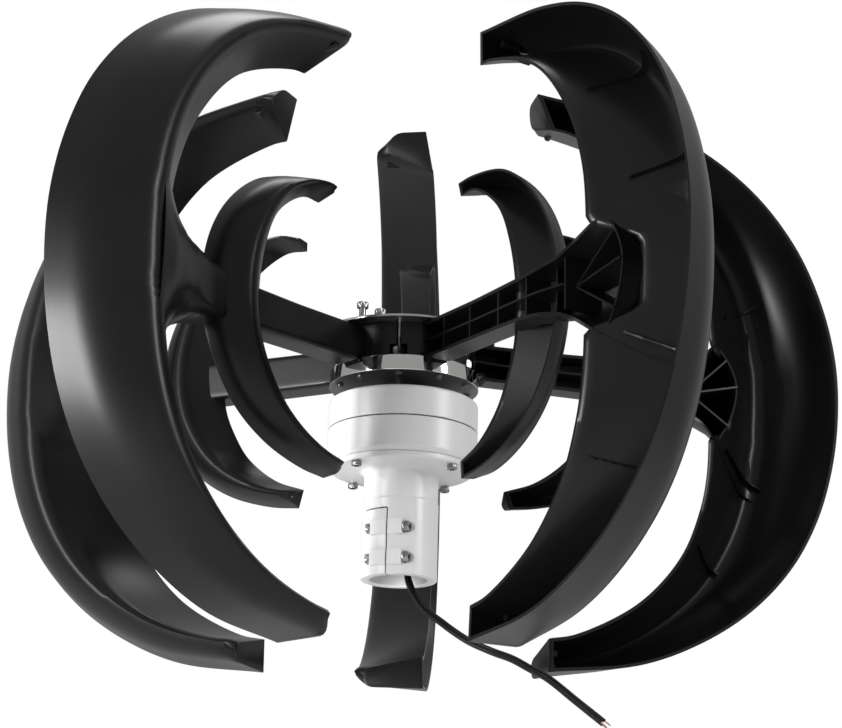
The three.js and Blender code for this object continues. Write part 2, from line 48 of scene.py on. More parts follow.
camera = bpy.data.objects.new("camera", bpy.data.cameras.new("camera"))
scene.collection.objects.link(camera)
scene.camera = camera
camera.data.lens = 93.97
camera.data.sensor_width = 36
camera.data.shift_x = 0.019
camera.data.shift_y = -0.0176
camera.location = (0, -1.8394, -0.373)
toward_hub = Vector((0, 0, 0.2066)) - camera.location
camera.rotation_mode = "QUATERNION"
camera.rotation_quaternion = (
    toward_hub.to_track_quat("-Z", "Y") @ Quaternion((0, 0, 1), radians(1.6))
)

world = bpy.data.worlds.new("studio")
scene.world = world
world.use_nodes = True
backdrop = world.node_tree.nodes["Background"]
backdrop.inputs["Color"].default_value = (1, 1, 1, 1)
fill_light = world.node_tree.nodes.new("ShaderNodeBackground")
fill_light.inputs["Color"].default_value = (1, 1, 1, 1)
fill_light.inputs["Strength"].default_value = 0.45
seen_or_lit = world.node_tree.nodes.new("ShaderNodeMixShader")
join = world.node_tree.links.new
join(world.node_tree.nodes.new("ShaderNodeLightPath").outputs["Is Camera Ray"], seen_or_lit.inputs["Fac"])
join(fill_light.outputs["Background"], seen_or_lit.inputs[1])
join(backdrop.outputs["Background"], seen_or_lit.inputs[2])
join(seen_or_lit.outputs["Shader"], world.node_tree.nodes["World Output"].inputs["Surface"])
scene.view_settings.view_transform = "Standard"


def soft_box(name, place, aim, width, height, power):
    light = bpy.data.lights.new(name, "AREA")
    light.shape = "RECTANGLE"
    light.size = width
    light.size_y = height
    light.energy = power
    lamp = bpy.data.objects.new(name, light)
    scene.collection.objects.link(lamp)
    lamp.location = place
    aim_line = Vector(aim) - Vector(place)
    lamp.rotation_euler = aim_line.to_track_quat("-Z", "Y").to_euler()


soft_box("left_box", (-2.2, -1.6, 0.2), (0, 0, 0.2), 0.35, 1.4, 34)
soft_box("right_box", (2.3, -1.2, 0.9), (0, 0, 0.2), 0.4, 1.4, 30)
soft_box("top_box", (0.2, 0.4, 2.4), (0, 0, 0.2), 1.2, 1.0, 24)
soft_box("low_strip", (-1.4, -1.5, -0.5), (-0.3, -0.25, 0.05), 0.16, 1.3, 60)

floor_mesh = bmesh.new()
bmesh.ops.create_grid(floor_mesh, x_segments=1, y_segments=1, size=6)
floor_data = bpy.data.meshes.new("floor")
floor_mesh.to_mesh(floor_data)
floor = bpy.data.objects.new("floor", floor_data)
floor.location.z = -0.75
scene.collection.objects.link(floor)


# Every finish is a Principled shader whose colour and roughness drift a
# little through soft noise, over a fine bump.
def finish_of(name, colour, roughness, metal=0.0, grain=900, bump=0.02, drift=0.12, specular=0.5):
    material = bpy.data.materials.new(name)
    material.use_nodes = True
    nodes = material.node_tree.nodes
    link = material.node_tree.links.new
    shader = nodes["Principled BSDF"]
    shader.inputs["Metallic"].default_value = metal
    shader.inputs["Specular IOR Level"].default_value = specular
    place = nodes.new("ShaderNodeTexCoord").outputs["Object"]
    clouds = nodes.new("ShaderNodeTexNoise")
    clouds.inputs["Scale"].default_value = 14
    clouds.inputs["Detail"].default_value = 4
    link(place, clouds.inputs["Vector"])
    tint = nodes.new("ShaderNodeValToRGB")
    tint.color_ramp.elements[0].position = 0.3
    tint.color_ramp.elements[1].position = 0.7
    dark = [c * (1 - drift) for c in colour]
    light = [min(c * (1 + drift), 1) for c in colour]
    tint.color_ramp.elements[0].color = (*dark, 1)
    tint.color_ramp.elements[1].color = (*light, 1)
    link(clouds.outputs["Fac"], tint.inputs["Fac"])
    link(tint.outputs["Color"], shader.inputs["Base Color"])
    spread = nodes.new("ShaderNodeMapRange")
    spread.inputs["To Min"].default_value = roughness * 0.85
    spread.inputs["To Max"].default_value = roughness * 1.15
    link(clouds.outputs["Fac"], spread.inputs["Value"])
    link(spread.outputs["Result"], shader.inputs["Roughness"])
    pebble = nodes.new("ShaderNodeTexNoise")
    pebble.inputs["Scale"].default_value = grain
    pebble.inputs["Detail"].default_value = 2
    link(place, pebble.inputs["Vector"])
    relief = nodes.new("ShaderNodeBump")
    relief.inputs["Strength"].default_value = bump
    relief.inputs["Distance"].default_value = 0.0005
    link(pebble.outputs["Fac"], relief.inputs["Height"])
    link(relief.outputs["Normal"], shader.inputs["Normal"])
    return material


floor.data.materials.append(finish_of("studio_floor", (0.85, 0.85, 0.85), 0.7, grain=60, drift=0.02))

# --- Cable ----------------------------------------------------------------
# Three rubber-sheathed cores come down through the casting and the open
# sleeve and hang away to the side, two side by side and the third close
# against them. Each ends in a short tuft of bare copper strand.

MM = 0.001
CABLE_ROUTE = [
    (20.5, 0, 97), (20.5, 0, 88), (20.5, 0, 74), (17, 0, 57), (12, 0, 40), (8, 0, 20),
    (7.5, 0, 3), (19, -5, -21), (36, -12, -36), (58, -19, -52), (78, -26, -62), (95, -38, -70),
    (108, -50, -79), (122, -70, -90), (144, -94, -112), (163, -110, -130),
]
CORE_STEPS = 97
SPREAD_START = 0.22
SPREAD_OVER = 0.2


def smooth_path(points, count):
    """Evenly spaced points on a smooth line through the given ones."""
    p = np.array(points, float)
    p = np.vstack([2 * p[0] - p[1], p, 2 * p[-1] - p[-2]])
    dense = []
    for a, b, c, d in zip(p[:-3], p[1:-2], p[2:-1], p[3:]):
        k0, k1, k2 = (max(np.linalg.norm(v), 1e-9) ** 0.5 for v in (b - a, c - b, d - c))
        leave = ((b - a) / k0 - (c - a) / (k0 + k1) + (c - b) / k1) * k1
        arrive = ((c - b) / k1 - (d - b) / (k1 + k2) + (d - c) / k2) * k1
        t = np.linspace(0, 1, 24, endpoint=False)[:, None]
        dense.append(
            (2 * t**3 - 3 * t**2 + 1) * b + (t**3 - 2 * t**2 + t) * leave
            + (3 * t**2 - 2 * t**3) * c + (t**3 - t**2) * arrive
        )
    line = np.vstack([*dense, p[-2]])
    walked = np.concatenate([[0], np.cumsum(np.linalg.norm(np.diff(line, axis=0), axis=1))])
    steps = np.linspace(0, walked[-1], count)
    return np.stack([np.interp(steps, walked, line[:, k]) for k in range(3)], axis=1)


def core_path(inside, outside):
    middle = smooth_path(CABLE_ROUTE, CORE_STEPS)
    along = np.gradient(middle, axis=0)
    along /= np.linalg.norm(along, axis=1)[:, None]
    over = np.cross((0, 1, 0), along)
    over /= np.linalg.norm(over, axis=1)[:, None]
    beside = np.cross(along, over)
    t = np.clip((np.linspace(0, 1, CORE_STEPS) - SPREAD_START) / SPREAD_OVER, 0, 1)[:, None]
    mix = t * t * (3 - 2 * t)
    u = inside[0] + (outside[0] - inside[0]) * mix
    v = inside[1] + (outside[1] - inside[1]) * mix
    return (middle + beside * u + over * v) * MM


def wire(name, path, radius, material):
    data = bpy.data.curves.new(name, "CURVE")
    data.dimensions = "3D"
    data.bevel_depth = radius
    data.bevel_resolution = 4
    data.use_fill_caps = True
    line = data.splines.new("POLY")
    line.points.add(len(path) - 1)
    for point, place in zip(line.points, path):
        point.co = (*place, 1)
    piece = bpy.data.objects.new(name, data)
    scene.collection.objects.link(piece)
    data.materials.append(material)
    return piece


core_rubber = finish_of("core_rubber", (0.004, 0.004, 0.004), 0.4, grain=1500, bump=0.05, specular=0.2)
bare_copper = finish_of("bare_copper", (0.32, 0.2, 0.13), 0.35, metal=1, grain=2500, bump=0.3)

CORE_RADIUS = 1.5
STRANDS = 7
STRAND_RADIUS = 0.22
STRAND_RING = 0.45
STRAND_LENGTH = 6.2
CORES = [((-1.65, 1), (-1.65, 1.4)), ((1.65, 1), (1.65, 1.4)), ((0, -1.9), (0.3, -1.9))]
for number, (inside, outside) in enumerate(CORES, 1):
    path = core_path(inside, outside)
    core = wire(f"cable_core_{number}", path, CORE_RADIUS * MM, core_rubber)
    direction = path[-1] - path[-2]
    direction /= np.linalg.norm(direction)
    strands = []
    for turn in range(STRANDS):
        spin = turn * pi / 3
        reach = 0 if turn == STRANDS - 1 else STRAND_RING * MM
        shift = np.array([0, cos(spin), sin(spin)]) * reach
        start = path[-1] + direction * 0.3 * MM + shift
        end = start + direction * (STRAND_LENGTH + 0.3 * sin(turn * 2.1)) * MM + shift * 0.3
        strands.append((start, end))
    tuft = wire(f"cable_end_{number}", strands[0], STRAND_RADIUS * MM, bare_copper)
    for start, end in strands[1:]:
        strand = tuft.data.splines.new("POLY")
        strand.points.add(1)
        strand.points[0].co = (*start, 1)
        strand.points[1].co = (*end, 1)
    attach(core, "stator")
    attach(tuft, "stator")
    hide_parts(f"lead_{number}")
    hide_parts(f"lead_tip_{number}")


# --- Mast sleeve and end cover --------------------------------------------
# One aluminium casting, painted white: the socket that is pulled tight on the
# mast by two cap screws, split on one side, and the flange above it that
# closes the generator from below.

BORE = 25
SLEEVE = 32.6
NECK = 32
MAST_STOP = 74
FLANGE = 61.5
FLANGE_LOW = 94
FLANGE_HIGH = 98.7
SPLIT_ANGLE = radians(250)
SPLIT_TOP = 57
CLAMP_LEVELS = (40.3, 14.2)
CLAMP_REACH = 29
SPLIT_HALF = 0.7
LUG_BOX = ((28, 33.4), (-14.9, 13.4), (-6.5, 6.5))
# Pockets are (low, high, radius) along the clamp screw.
HEAD_POCKET = (13.5, 34, 5)
NUT_POCKET = (-34, -15, 5.4)
UNDERCUT_TURN = radians(-45)
UNDERCUT_SECTION = ((22, 56.2), (40, 56.2), (40, 57.6), (22, 57.6))
CABLE_WAY = 4.4


def eased(corners, radius, closed=False, steps=4):
    """The line through the corners with each inner corner turned into an arc."""
    points = [np.array(corner, float) for corner in corners]
    if closed:
        points = [points[-1], *points, points[0]]
    line = []
    for a, b, c in zip(points[:-2], points[1:-1], points[2:]):
        into, out = np.linalg.norm(a - b), np.linalg.norm(c - b)
        cut = min(radius, 0.45 * into, 0.45 * out)
        start = b + (a - b) / into * cut
        end = b + (c - b) / out * cut
        for t in np.linspace(0, 1, steps + 1):
            line.append((1 - t) ** 2 * start + 2 * t * (1 - t) * b + t**2 * end)
    return line if closed else [points[0], *line, points[-1]]


def turned(mesh, profile, segments=144, closed=True):
    """Spins (radius, height) points round the axis; a radius may be a function of the angle."""
    rings = []
    for radius, height in profile:
        if not callable(radius) and radius == 0:
            rings.append([mesh.verts.new((0, 0, height * MM))] * segments)
            continue
        ring = []
        for step in range(segments):
            angle = 2 * pi * step / segments
            reach = (radius(angle) if callable(radius) else radius) * MM
            ring.append(mesh.verts.new((reach * cos(angle), reach * sin(angle), height * MM)))
        rings.append(ring)
    for one, two in zip(rings, rings[1:] + (rings[:1] if closed else [])):
        for j in range(segments):
            k = (j + 1) % segments
            corners = list(dict.fromkeys((one[j], one[k], two[k], two[j])))
            if len(corners) > 2:
                mesh.faces.new(corners)


def box(mesh, xs, ys, zs):
    v = [mesh.verts.new((x * MM, y * MM, z * MM)) for x in xs for y in ys for z in zs]
    for a, b, c, d in ((0, 1, 3, 2), (4, 6, 7, 5), (0, 4, 5, 1), (2, 3, 7, 6), (0, 2, 6, 4), (1, 5, 7, 3)):
        mesh.faces.new((v[a], v[b], v[c], v[d]))


def piece_of(name, mesh, material, body, nodes, sharp=35):
    """Turns the mesh into a smooth-shaded piece that stands for the given nodes."""
    bmesh.ops.recalc_face_normals(mesh, faces=mesh.faces)
    data = bpy.data.meshes.new(name)
    mesh.to_mesh(data)
    mesh.free()
    data.shade_smooth()
    data.set_sharp_from_angle(angle=radians(sharp))
    data.materials.append(material)
    piece = bpy.data.objects.new(name, data)
    scene.collection.objects.link(piece)
    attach(piece, body)
    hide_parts(*nodes)
    return piece


def carve(piece, tool_mesh, operation="DIFFERENCE"):
    """Cuts the tool's shape out of the piece, or joins it on."""
    bmesh.ops.recalc_face_normals(tool_mesh, faces=tool_mesh.faces)
    data = bpy.data.meshes.new("tool")
    tool_mesh.to_mesh(data)
    tool_mesh.free()
    tool = bpy.data.objects.new("tool", data)
    scene.collection.objects.link(tool)
    modifier = piece.modifiers.new("carve", "BOOLEAN")
    modifier.operation = operation
    modifier.solver = "EXACT"
    modifier.object = tool
    bpy.context.view_layer.update()
    graph = bpy.context.evaluated_depsgraph_get()
    result = bpy.data.meshes.new_from_object(piece.evaluated_get(graph))
    piece.modifiers.clear()
    piece.data = result
    bpy.data.objects.remove(tool)


def soft_edges(piece, width, angle=35):
    modifier = piece.modifiers.new("soft_edges", "BEVEL")
    modifier.width = width * MM
    modifier.segments = 2
    modifier.limit_method = "ANGLE"
    modifier.angle_limit = radians(angle)


# Clamp parts are drawn with x outwards through the split and y along the screw.
def at_clamp(level):
    return Matrix.Rotation(SPLIT_ANGLE, 4, "Z") @ Matrix.Translation((0, 0, level * MM))


LYING = Matrix.Translation((CLAMP_REACH * MM, 0, 0)) @ Matrix.Rotation(-pi / 2, 4, "X")

white_paint = finish_of("white_paint", (0.7, 0.7, 0.695), 0.34, grain=260, bump=0.05, drift=0.015)

sleeve_mesh = bmesh.new()
turned(sleeve_mesh, [
    (0, MAST_STOP), (BORE, MAST_STOP), (BORE, 0.8), (BORE + 0.8, 0),
    *eased([(BORE + 1.2, 0), (SLEEVE, 0), (SLEEVE, 66), (NECK, 67)], 1.2),
    *eased([(NECK, 68), (NECK, FLANGE_LOW), (FLANGE, FLANGE_LOW), (FLANGE, FLANGE_HIGH)], 7, steps=7),
    (0, FLANGE_HIGH),
], closed=False)
sleeve = piece_of("clamp_sleeve", sleeve_mesh, white_paint, "stator", ["mast_sleeve"])
for level in CLAMP_LEVELS:
    lug = bmesh.new()
    box(lug, *LUG_BOX)
    lug.transform(at_clamp(level))
    carve(sleeve, lug, "UNION")
    for low, high, radius in (HEAD_POCKET, NUT_POCKET):
        pocket = bmesh.new()
        turned(pocket, [(0, low), (radius, low), (radius, high), (0, high)], 48, closed=False)
        pocket.transform(at_clamp(level) @ LYING)
        carve(sleeve, pocket)
slit = bmesh.new()
box(slit, (20, 45), (-SPLIT_HALF, SPLIT_HALF), (-1, SPLIT_TOP))
slit.transform(at_clamp(0))
carve(sleeve, slit)
undercut = bmesh.new()
rows = []
for step in range(10):
    turn = UNDERCUT_TURN * step / 9
    rows.append([undercut.verts.new((r * cos(turn) * MM, r * sin(turn) * MM, z * MM))
                 for r, z in UNDERCUT_SECTION])
for one, two in zip(rows[:-1], rows[1:]):
    for j in range(4):
        undercut.faces.new((one[j], one[(j + 1) % 4], two[(j + 1) % 4], two[j]))
undercut.faces.new(rows[0])
undercut.faces.new(rows[-1][::-1])
undercut.transform(at_clamp(0))
carve(sleeve, undercut)
cable_way = bmesh.new()
turned(cable_way, [(0, 60), (CABLE_WAY, 60), (CABLE_WAY, 104), (0, 104)], 32, closed=False)
cable_way.transform(Matrix.Translation((CABLE_ROUTE[0][0] * MM, 0, 0)))
carve(sleeve, cable_way)
soft_edges(sleeve, 0.4)

# --- Generator shells -----------------------------------------------------
# Two shallow cups of cast aluminium, painted like the sleeve, meet at a thin
# black rubber gasket. Each has four vertical flats in line with the screws.

BODY = 65
BODY_INSIDE = 60
BODY_LOW = 99
SEAM = 129
BODY_HIGH = 156
SCREW_ANGLES = [radians(a) for a in (48, 138, 228, 318)]
FLAT_REACH = 64.6
GASKET = 0.9
LOWER_OPENING = 46.5
LOWER_FLOOR = 108
UPPER_OPENING = 18
UPPER_CEILING = 151


def shell(name, corners, node):
    mesh = bmesh.new()
    turned(mesh, eased(corners, 1.1, closed=True, steps=3), 180)
    for vertex in mesh.verts:
        for angle in SCREW_ANGLES:
            normal = Vector((cos(angle), sin(angle), 0))
            over = vertex.co.dot(normal) - FLAT_REACH * MM
            if over > 0:
                vertex.co -= normal * over
    return piece_of(name, mesh, white_paint, "stator", [node], 5)


shell("lower_cup", [
    (LOWER_OPENING, BODY_LOW), (FLANGE, BODY_LOW), (BODY, BODY_LOW + 3.5), (BODY, SEAM),
    (BODY_INSIDE, SEAM), (BODY_INSIDE, LOWER_FLOOR), (LOWER_OPENING, LOWER_FLOOR),
], "lower_shell")
shell("upper_cup", [
    (BODY_INSIDE, SEAM + GASKET), (BODY, SEAM + GASKET), (BODY, BODY_HIGH - 2), (BODY - 2, BODY_HIGH),
    (UPPER_OPENING, BODY_HIGH), (UPPER_OPENING, UPPER_CEILING), (BODY_INSIDE, UPPER_CEILING),
], "upper_shell")


def dress(node, material):
    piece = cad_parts[node]
    piece.data.materials.clear()
    piece.data.materials.append(material)


seal_rubber = finish_of("seal_rubber", (0.012, 0.012, 0.012), 0.7, grain=1800, bump=0.1)
for node in ("seam_gasket", "shaft_seal", "cable_grommet"):
    dress(node, seal_rubber)

# --- Inside the generator -------------------------------------------------
# An oiled stack of laminations with a varnished copper winding, ground
# bearing rings, and the magnet wheel on its shaft.

oiled_iron = finish_of("oiled_iron", (0.09, 0.09, 0.095), 0.4, metal=0.9, grain=700, bump=0.1)
varnished_copper = finish_of("varnished_copper", (0.42, 0.16, 0.06), 0.3, metal=0.9, grain=800, bump=0.3)
ground_steel = finish_of("ground_steel", (0.5, 0.51, 0.53), 0.22, metal=1, grain=1200, bump=0.05)
for node in ("stator_core", "magnet_wheel", "magnet_ring"):
    dress(node, oiled_iron)
dress("stator_winding", varnished_copper)
for node in ("lower_bearing_outer", "lower_bearing_inner", "upper_bearing_outer",
             "upper_bearing_inner", "shaft"):
    dress(node, ground_steel)

# --- Hub ------------------------------------------------------------------
# A thick turned disc, polished bright on its rim and rougher beneath, where its much
# darker metal colour is painted shade, carries the blade roots; a thin plated sheet clamps them from above.

DISC_LOW = 168.5
DISC_HIGH = 182
HUB_BORE = 7.5
HUB_NECK = 12
HUB_LOW = 150.5
PLATE = 78.5
PLATE_LOW = 211.6
PLATE_HIGH = 213.6

bright_disc = finish_of("bright_disc", (0.62, 0.61, 0.6), 0.07, metal=1, grain=1500, bump=0.01, drift=0.02)
# Dark metal colour for the disc's underside: painted shade beneath the disc, over a rougher finish.
painted_shade_underside = finish_of("painted_shade_underside", (0.13, 0.13, 0.13), 0.34, metal=1, grain=900, bump=0.04, drift=0.1)
disc_mesh = bmesh.new()
turned(disc_mesh, [
    (HUB_BORE, HUB_LOW), (HUB_NECK, HUB_LOW), (HUB_NECK, DISC_LOW),
    *eased([(13, DISC_LOW), (BODY, DISC_LOW), (BODY, DISC_HIGH), (13, DISC_HIGH)], 0.9, steps=3),
    (HUB_BORE, DISC_HIGH),
], 180)
disc = piece_of("polished_hub_disc", disc_mesh, bright_disc, "rotor", ["hub_disc"])
disc.data.materials.append(painted_shade_underside)
# Faces on the underside take the darker finish, painted shade where the disc faces down.
for face in disc.data.polygons:
    if face.center.z < (DISC_LOW + 0.2) * MM:
        face.material_index = 1

plated_sheet = finish_of("plated_sheet", (0.5, 0.51, 0.52), 0.25, metal=1, grain=900, bump=0.05)
plate_mesh = bmesh.new()
turned(plate_mesh, eased([
    (6.3, PLATE_LOW), (PLATE, PLATE_LOW), (PLATE, PLATE_HIGH), (6.3, PLATE_HIGH),
], 0.4, closed=True, steps=2), 180)
piece_of("root_clamp_plate", plate_mesh, plated_sheet, "rotor", ["top_plate"])

# --- Screws and nuts ------------------------------------------------------
# Zinc-plated steel: socket cap screws with knurled heads, and hexagon nuts.
# Two screws of one blade have not been run down yet and stand proud.

BLADES = 5
FIRST_BLADE = radians(12.94)
PITCH = 2 * pi / BLADES
LOOSE_BLADE = 4
OUTER_CIRCLE = 57
INNER_CIRCLE = 34
COVER_CIRCLE = 57
CLEARANCE = 0.3
# Screws are (radius, head radius). Tips and seats are heights; the clamp's spans run along its screws.
SMALL_SCREW = (2.5, 4.25)
LARGE_SCREW = (3, 5)
COVER_SCREW_TIP = 146
COVER_SCREW_SEAT = 93
CLAMP_SCREW_SPAN = (-20.4, 13.8)
CLAMP_NUT_SPAN = (-19.4, -15.4)
OUTER_SCREW_TIP = 165.5
INNER_SCREW_TIP = 169
GAP_SCREW_TIP = 166.5
OUTER_PROUD = 15.4
INNER_PROUD = 12.3
WASHER = 1.4

zinc_plate = finish_of("zinc_plate", (0.3, 0.305, 0.31), 0.2, metal=1, grain=1100, bump=0.1)


def hexagon(across_flats):
    def radius(angle):
        return across_flats / 2 / cos((angle + pi / 6) % (pi / 3) - pi / 6)
    return radius


def knurled(radius):
    def wavy(angle):
        return radius - 0.14 * (round(angle / (2 * pi) * 96) % 2)
    return wavy


def cap_screw(mesh, bottom, under_head, head_height, radius, head_radius):
    """Socket cap screw that points down, threaded for the lower part of its shank."""
    top = under_head + head_height
    pitch = 1.1
    threads = int((under_head - bottom) * 0.7 / pitch)
    profile = [(0, bottom), (radius * 0.72, bottom)]
    for turn in range(threads):
        profile += [(radius * 0.84, bottom + (turn + 0.25) * pitch), (radius, bottom + (turn + 0.6) * pitch)]
    socket = hexagon(head_radius * 0.95)
    profile += [
        (radius, bottom + (threads + 1) * pitch), (radius, under_head),
        (head_radius * 0.96, under_head), (knurled(head_radius), under_head + 0.4),
        (knurled(head_radius), top - 0.7), (head_radius * 0.9, top),
        (socket, top), (socket, top - head_height * 0.5), (0, top - head_height * 0.5),
    ]
    turned(mesh, profile, 96, closed=False)


def nut(mesh, across_flats, low, high, bore):
    """Hexagon nut with its corners turned down at both faces."""
    flats = hexagon(across_flats)

    def trimmed(angle):
        return min(flats(angle), across_flats * 0.52)

    turned(mesh, [
        (bore, low), (trimmed, low), (flats, low + 0.7), (flats, high - 0.7), (trimmed, high),
        (bore, high),
    ], 96)


def washer(mesh, bore, radius, low, high):
    section = [(bore, low), (radius, low), (radius, high), (bore, high)]
    turned(mesh, eased(section, 0.25, closed=True, steps=1), 64)


def standing(reach, angle):
    return Matrix.Translation((reach * cos(angle) * MM, reach * sin(angle) * MM, 0))


def fastener(name, mesh, place, body, node):
    mesh.transform(place)
    piece_of(name, mesh, zinc_plate, body, [node], 30)


for number, angle in enumerate(SCREW_ANGLES, 1):
    mesh = bmesh.new()
    cap_screw(mesh, -COVER_SCREW_TIP, -COVER_SCREW_SEAT, 4, *SMALL_SCREW)
    place = standing(COVER_CIRCLE, angle) @ Matrix.Rotation(pi, 4, "X")
    fastener(f"cover_cap_screw_{number}", mesh, place, "stator", f"shell_screw_{number}")
for number, level in enumerate(CLAMP_LEVELS, 1):
    mesh = bmesh.new()
    cap_screw(mesh, *CLAMP_SCREW_SPAN, 5.5, *SMALL_SCREW)
    fastener(f"clamp_cap_screw_{number}", mesh, at_clamp(level) @ LYING, "stator", f"clamp_screw_{number}")
    mesh = bmesh.new()
    nut(mesh, 8, *CLAMP_NUT_SPAN, 2.8)
    fastener(f"clamp_hex_nut_{number}", mesh, at_clamp(level) @ LYING, "stator", f"clamp_nut_{number}")

for number in range(1, BLADES + 1):
    angle = FIRST_BLADE + PITCH * (number - 1)
    between = angle + PITCH / 2
    is_loose = number == LOOSE_BLADE
    mesh = bmesh.new()
    seat = PLATE_HIGH + (OUTER_PROUD if is_loose else CLEARANCE)
    cap_screw(mesh, OUTER_SCREW_TIP, seat, 5, *LARGE_SCREW)
    fastener(f"root_cap_screw_{number}", mesh, standing(OUTER_CIRCLE, angle), "rotor",
             f"blade_screw_{number}")
    mesh = bmesh.new()
    seat = PLATE_HIGH + (INNER_PROUD if is_loose else CLEARANCE)
    cap_screw(mesh, INNER_SCREW_TIP, seat + WASHER, 6.6, *LARGE_SCREW)
    washer(mesh, 3.2, 7, seat, seat + WASHER)
    fastener(f"inner_cap_screw_{number}", mesh, standing(INNER_CIRCLE, angle), "rotor",
             f"inner_screw_{number}")
    mesh = bmesh.new()
    cap_screw(mesh, GAP_SCREW_TIP, PLATE_HIGH + CLEARANCE, 5, *LARGE_SCREW)
    fastener(f"gap_cap_screw_{number}", mesh, standing(OUTER_CIRCLE, between), "rotor", f"gap_screw_{number}")
    mesh = bmesh.new()
    nut(mesh, 10, DISC_HIGH + CLEARANCE, DISC_HIGH + 8, 3.3)
    fastener(f"gap_hex_nut_{number}", mesh, standing(OUTER_CIRCLE, between), "rotor", f"gap_nut_{number}")
mesh = bmesh.new()
nut(mesh, 19, PLATE_HIGH + CLEARANCE, PLATE_HIGH + 9, 6.3)
fastener("shaft_hex_nut", mesh, Matrix(), "rotor", "shaft_nut")

# --- Blades ---------------------------------------------------------------
# Each blade is one glass-filled nylon moulding: a big crescent scoop and a
# small one on a ribbed trough arm, with a wedge at the hub. x runs out along
# the arm, y the way it turns, z up; the hollow side faces back.

WALL = 3.0
SMALL_WALL = 2.4
SECTION_POINTS = 32

BIG_RIM = [
    (119, 464), (212, 451), (278, 427), (332, 388), (371, 338), (394, 284), (405, 230),
    (405, 178), (397, 128), (381, 80), (355, 35), (317, -5), (269, -37), (212, -60), (131, -71),
]
BIG_LIP = [
    (131, 426), (146, 424), (211, 395), (255, 341), (275, 288), (280, 246), (279, 178),
    (276, 114), (268, 78), (250, 37), (211, -6), (154, -37), (131, -42),
]
SMALL_RIM = [
    (108, 324), (127, 325), (173, 316), (213, 284), (236, 243), (242, 193), (230, 149),
    (203, 110), (167, 86), (125, 73), (98, 70),
]
SMALL_LIP = [
    (106, 314), (125, 313), (157, 289), (173, 251), (179, 207), (175, 168), (164, 142),
    (148, 118), (120, 96), (93, 86),
]


def between_tips(values, s):
    """Runs smoothly through the (top, middle, bottom) values as s goes 0 to 1."""
    top, middle, bottom = values
    t = 2 * s - 1
    return middle + (bottom - top) * t / 2 + ((top + bottom) / 2 - middle) * t * t


def even(line, count):
    """The same line with its points spread evenly."""
    line = np.array(line)
    walked = np.concatenate([[0], np.cumsum(np.linalg.norm(np.diff(line, axis=0), axis=1))])
    steps = np.linspace(0, walked[-1], count)
    return np.stack([np.interp(steps, walked, line[:, k]) for k in range(2)], axis=1)


def ease(value, low, high):
    t = min(max((value - low) / (high - low), 0), 1)
    return t * t * (3 - 2 * t)


def walled(line, wall):
    """The closed loop of a skin line and its copy moved in by the wall."""
    line = np.array(line)
    way = np.gradient(line, axis=0)
    way /= np.linalg.norm(way, axis=1)[:, None]
    inside = line + np.stack([way[:, 1], -way[:, 0]], axis=1) * wall
    inside[0, 1] = line[0, 1]
    inside[-1, 1] = line[-1, 1]
    return list(line) + list(inside[::-1])


def skin(mesh, loops):
    """Joins equal loops of points into one closed tube; each end is a strip."""
    rows = [[mesh.verts.new(Vector(p) * MM) for p in loop] for loop in loops]
    n = len(rows[0])
    for one, two in zip(rows[:-1], rows[1:]):
        for j in range(n):
            k = (j + 1) % n
            mesh.faces.new((one[j], one[k], two[k], two[j]))
    for row in (rows[0], rows[-1]):
        for j in range(n // 2 - 1):
            mesh.faces.new((row[j], row[n - 1 - j], row[n - 2 - j], row[j + 1]))


def end_wall(mesh, outline, towards):
    """Flat wall with a softened edge that closes the scoop at a tip."""
    outline = np.array(outline)
    middle = outline.mean(axis=0)
    inward = np.array(towards) - outline[0]
    inward /= np.linalg.norm(inward)
    rings = []
    for scale, shift in ((0.94, -1.3), (0.985, -1.0), (1.0, -0.2), (1.0, WALL)):
        rings.append([mesh.verts.new(Vector(middle + (p - middle) * scale + inward * shift) * MM)
                      for p in outline])
    n = len(outline)
    for one, two in zip(rings[:-1], rings[1:]):
        for j in range(n):
            k = (j + 1) % n
            mesh.faces.new((one[j], one[k], two[k], two[j]))
    mesh.faces.new(rings[0])
    mesh.faces.new(rings[-1][::-1])


TIP_ROUND = 11
TIP_DROP = 1.1
# Where the big scoop's lip opens for the arm: the heights over which it starts and ends.
WINDOW_LOW = (146, 170)
WINDOW_HIGH = (214, 240)
WINDOW_DEPTH = 0.44


def scoop(mesh, rim, lip, shape, stations, has_arm_gap=False):
    """Crescent whose section runs rim, shoulder, ridge, lip, all swept from tip to tip."""
    rim_line = smooth_path([(x, 0, z) for x, z in rim], stations)
    lip_line = smooth_path([(x, 0, z) for x, z in lip], stations)
    length = np.linalg.norm(np.diff(rim_line, axis=0), axis=1).sum()
    loops = []
    for i in range(stations):
        s = i / (stations - 1)
        across = lip_line[i] - rim_line[i]
        width = np.linalg.norm(across)
        across /= width
        value = {key: between_tips(numbers, s) for key, numbers in shape.items()}
        shoulder = (max(value["shoulder_in"], 0.5), value["shoulder_y"])
        ridge = np.array((value["ridge_at"] * width, value["ridge_y"]))
        end = np.array((width, value["lip_y"]))
        if has_arm_gap:
            height = lip_line[i][2]
            opened = ease(height, *WINDOW_LOW) * (1 - ease(height, *WINDOW_HIGH))
            end = end + (ridge - end) * WINDOW_DEPTH * opened
        from_tip = TIP_ROUND - min(s, 1 - s) * length
        if from_tip > 0:
            ridge[1] -= TIP_DROP * (TIP_ROUND - np.sqrt(TIP_ROUND**2 - from_tip**2))
        line = eased([(0, value["rim_y"]), shoulder, ridge, end], value["round"], steps=7)
        line = even(line, SECTION_POINTS)
        loops.append([rim_line[i] + across * u + np.array((0, y, 0))
                      for u, y in walled(line, WALL if has_arm_gap else SMALL_WALL)])
    skin(mesh, loops)
    half = len(loops[0]) // 2
    end_wall(mesh, loops[0][:half], loops[1][0])
    end_wall(mesh, loops[-1][:half], loops[-2][0])
    return np.concatenate([loop[:half] for loop in loops])


